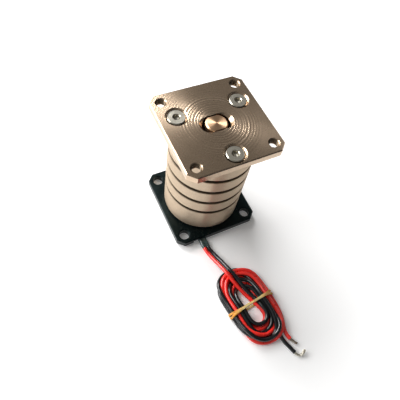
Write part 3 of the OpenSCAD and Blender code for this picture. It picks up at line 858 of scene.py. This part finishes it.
def make_finishes():
    """The record's material slots, and two finishes for small pieces that the photograph shows darker;
    the threads' dark colour is painted shade inside the corner holes.
    """
    return {
        "plated_plate": turned_metal(
            "plated_plate", (0.64, 0.487, 0.351), (0.52, 0.39, 0.276), rough=(0.27, 0.18),
            marks=(6e-5, 4e-5, 4e-6), pull=0.7, facing=(0.0011, 3.6e-5)),
        # The housing's recess entry paints shade into its grooves: the groove walls are darkened to a
        # quarter of the dark tone.
        "plated_housing": turned_metal(
            "plated_housing", (0.60, 0.485, 0.365), (0.53, 0.415, 0.30), rough=(0.38, 0.36),
            marks=(1e-5, 1e-5, 1.2e-5), pull=0.7, painted_recess_shade=(0.0169, 0.01745, 0.25),
            rim=(0.6, 0.54, 0.46), metal=0.7),
        # The screws' recess entry paints shade into their hex sockets.
        "stainless": turned_metal(
            "stainless", (0.74, 0.70, 0.60), (0.60, 0.565, 0.48), rough=(0.30, 0.24),
            marks=(7e-5, 3e-5, 2e-6), pull=0.0, centres=screw_centres(),
            painted_recess_shade=(0.0012, 0.0014, 0.6)),
        "turned_brass": turned_metal(
            "turned_brass", (0.78, 0.515, 0.325), (0.70, 0.44, 0.26), rough=(0.42, 0.25),
            marks=(2e-5, 1.2e-5, 4e-6), pull=0.9),
        "soft_iron": turned_metal(
            "soft_iron", (0.45, 0.46, 0.48), (0.36, 0.37, 0.39), rough=(0.35, 0.35),
            marks=(1e-5, 1e-5, 8e-6)),
        "black_anodised": anodised_black(
            "black_anodised", (0.0012, 0.0034, 0.0038), (0.003, 0.006, 0.0065)),
        "black_rubber": matte_rubber(
            "black_rubber", (0.02, 0.02, 0.02), (0.03, 0.03, 0.03), rough=0.7),
        "amber_rubber": amber_band("amber_rubber"),
        "shrink_tube": soft_plastic(
            "shrink_tube", (0.037, 0.066, 0.064), (0.050, 0.080, 0.078), rough=0.22, specular=0.8),
        "red_insulation": soft_plastic(
            "red_insulation", (0.97, 0.026, 0.016), (0.88, 0.018, 0.011), rough=0.30, specular=1.0),
        "black_insulation": soft_plastic(
            "black_insulation", (0.003, 0.004, 0.005), (0.007, 0.008, 0.010), rough=0.13, specular=0.75),
        "copper_wire": bright_metal(
            "copper_wire", (0.72, 0.33, 0.15), (0.55, 0.22, 0.09), rough=0.3),
        "tinned_wire": bright_metal(
            "tinned_wire", (0.78, 0.75, 0.66), (0.6, 0.56, 0.46), rough=0.34, scale=2500),
        "dull_strands": bright_metal(
            "dull_strands", (0.42, 0.36, 0.29), (0.24, 0.19, 0.15), rough=0.5, scale=2500),
        # Painted shade: the threads are coloured this dark to stand in for the shade inside the top
        # plate's corner holes.
        "shaded_thread_metal": bright_metal(
            "shaded_thread_metal", (0.19, 0.145, 0.10), (0.12, 0.09, 0.06), rough=0.3, scale=2500),
        "nickel_magnet": bright_metal(
            "nickel_magnet", (0.72, 0.72, 0.70), (0.62, 0.62, 0.60), rough=0.22),
        "bronze": bright_metal("bronze", (0.62, 0.45, 0.25), (0.5, 0.34, 0.18), rough=0.42),
    }


def dress_solids(finish):
    for row in frame["record"]["subparts"]:
        solid = frame["nodes"][row["node"]]
        solid.data.materials.clear()
        solid.data.materials.append(finish[row["material_slot"]])


# Stage

def add_floor():
    corners = [(x * FLOOR_HALF, y * FLOOR_HALF, FLOOR_LEVEL)
               for x, y in ((-1, -1), (1, -1), (1, 1), (-1, 1))]
    mesh = bpy.data.meshes.new("floor")
    mesh.from_pydata(corners, [], [(0, 1, 2, 3)])
    floor = bpy.data.objects.new("floor", mesh)
    bpy.context.scene.collection.objects.link(floor)
    material = bpy.data.materials.new("floor")
    material.use_nodes = True
    tree = material.node_tree
    tree.nodes.clear()
    output = tree.nodes.new("ShaderNodeOutputMaterial")
    matte = tree.nodes.new("ShaderNodeBsdfDiffuse")
    rays = tree.nodes.new("ShaderNodeLightPath").outputs
    mirrored = calc(tree, "MAXIMUM", rays["Is Glossy Ray"], rays["Is Transmission Ray"])
    seen = calc(tree, "MAXIMUM", rays["Is Camera Ray"], mirrored)
    put(tree, matte.inputs["Color"], blend_colours(tree, seen, FLOOR_TONE, WHITE))
    glow = tree.nodes.new("ShaderNodeEmission")
    strength = span(tree, radius_about(tree), *FLOOR_FADE, FLOOR_GLOW, 1.0)
    put(tree, glow.inputs["Strength"], calc(tree, "MULTIPLY", seen, strength))
    both = tree.nodes.new("ShaderNodeAddShader")
    tree.links.new(matte.outputs[0], both.inputs[0])
    tree.links.new(glow.outputs[0], both.inputs[1])
    tree.links.new(both.outputs[0], output.inputs[0])
    mesh.materials.append(material)


def sky_band(tree, parts, way, reach, dark, bright):
    """A tone that gets brighter across the sky in one direction."""
    toward = calc(tree, "ADD", calc(tree, "MULTIPLY", parts.outputs[0], way[0]),
                  calc(tree, "MULTIPLY", parts.outputs[1], way[1]))
    return blend_colours(tree, span(tree, toward, *reach, 0.0, 1.0), dark, bright)


def add_world():
    world = bpy.data.worlds.new("studio")
    bpy.context.scene.world = world
    world.use_nodes = True
    tree = world.node_tree
    tree.nodes.clear()
    output = tree.nodes.new("ShaderNodeOutputWorld")
    back = tree.nodes.new("ShaderNodeBackground")
    parts = tree.nodes.new("ShaderNodeSeparateXYZ")
    tree.links.new(tree.nodes.new("ShaderNodeTexCoord").outputs["Generated"], parts.inputs[0])
    rise = span(tree, parts.outputs[2], *HORIZON_HEIGHTS, 0.0, 1.0)
    sky = blend_colours(tree, rise, sky_band(tree, parts, *HORIZON), sky_band(tree, parts, *OVERHEAD))
    from_camera = tree.nodes.new("ShaderNodeLightPath").outputs["Is Camera Ray"]
    put(tree, back.inputs["Color"], blend_colours(tree, from_camera, sky, WHITE))
    tree.links.new(back.outputs[0], output.inputs[0])


def add_lamp(name, place, size, power):
    data = bpy.data.lights.new(name, "AREA")
    data.shape = "RECTANGLE"
    data.size, data.size_y = size
    data.energy = power
    lamp = bpy.data.objects.new(name, data)
    bpy.context.scene.collection.objects.link(lamp)
    lamp.location = place
    lamp.rotation_euler = (Vector(LAMP_AIM) - Vector(place)).to_track_quat("-Z", "Y").to_euler()


add_camera()
finishes = make_finishes()
add_leads(finishes)
dress_solids(finishes)
new_object("corner_threads", thread_mesh("corner_threads"),
           finishes["shaded_thread_metal"], "magnet_side")
add_floor()
add_world()
for lamp_values in LAMPS:
    add_lamp(*lamp_values)
bpy.context.scene.view_settings.view_transform = "Standard"
